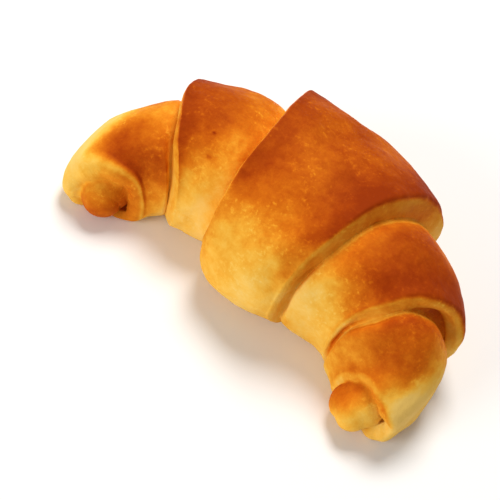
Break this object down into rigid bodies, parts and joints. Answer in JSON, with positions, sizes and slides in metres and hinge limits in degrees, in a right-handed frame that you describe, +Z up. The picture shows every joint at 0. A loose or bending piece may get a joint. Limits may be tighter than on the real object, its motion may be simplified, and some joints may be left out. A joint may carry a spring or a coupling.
{
  "type": "croissant",
  "caption": "Plain baked croissant: a crescent of rolled dough in overlapping turns, fullest in the middle, with a small rolled nub at each tip.",
  "frame": {"origin": "on the flat underside, at the middle of the outline's length and width", "axes": "+X along the length from tip to tip, +Y towards the outer side of the bend, away from the tips, +Z up through the crown"},
  "size_m": [0.1254, 0.0765, 0.0456],
  "materials": {
    "crust": "Smooth baked crust with a low satin sheen: brown on top and along the ridges, golden orange below them, pale yellow on the sides and on the cut rims of the turns."
  },
  "bodies": {
    "root": {"croissant": "crust"}
  },
  "joints": []
}
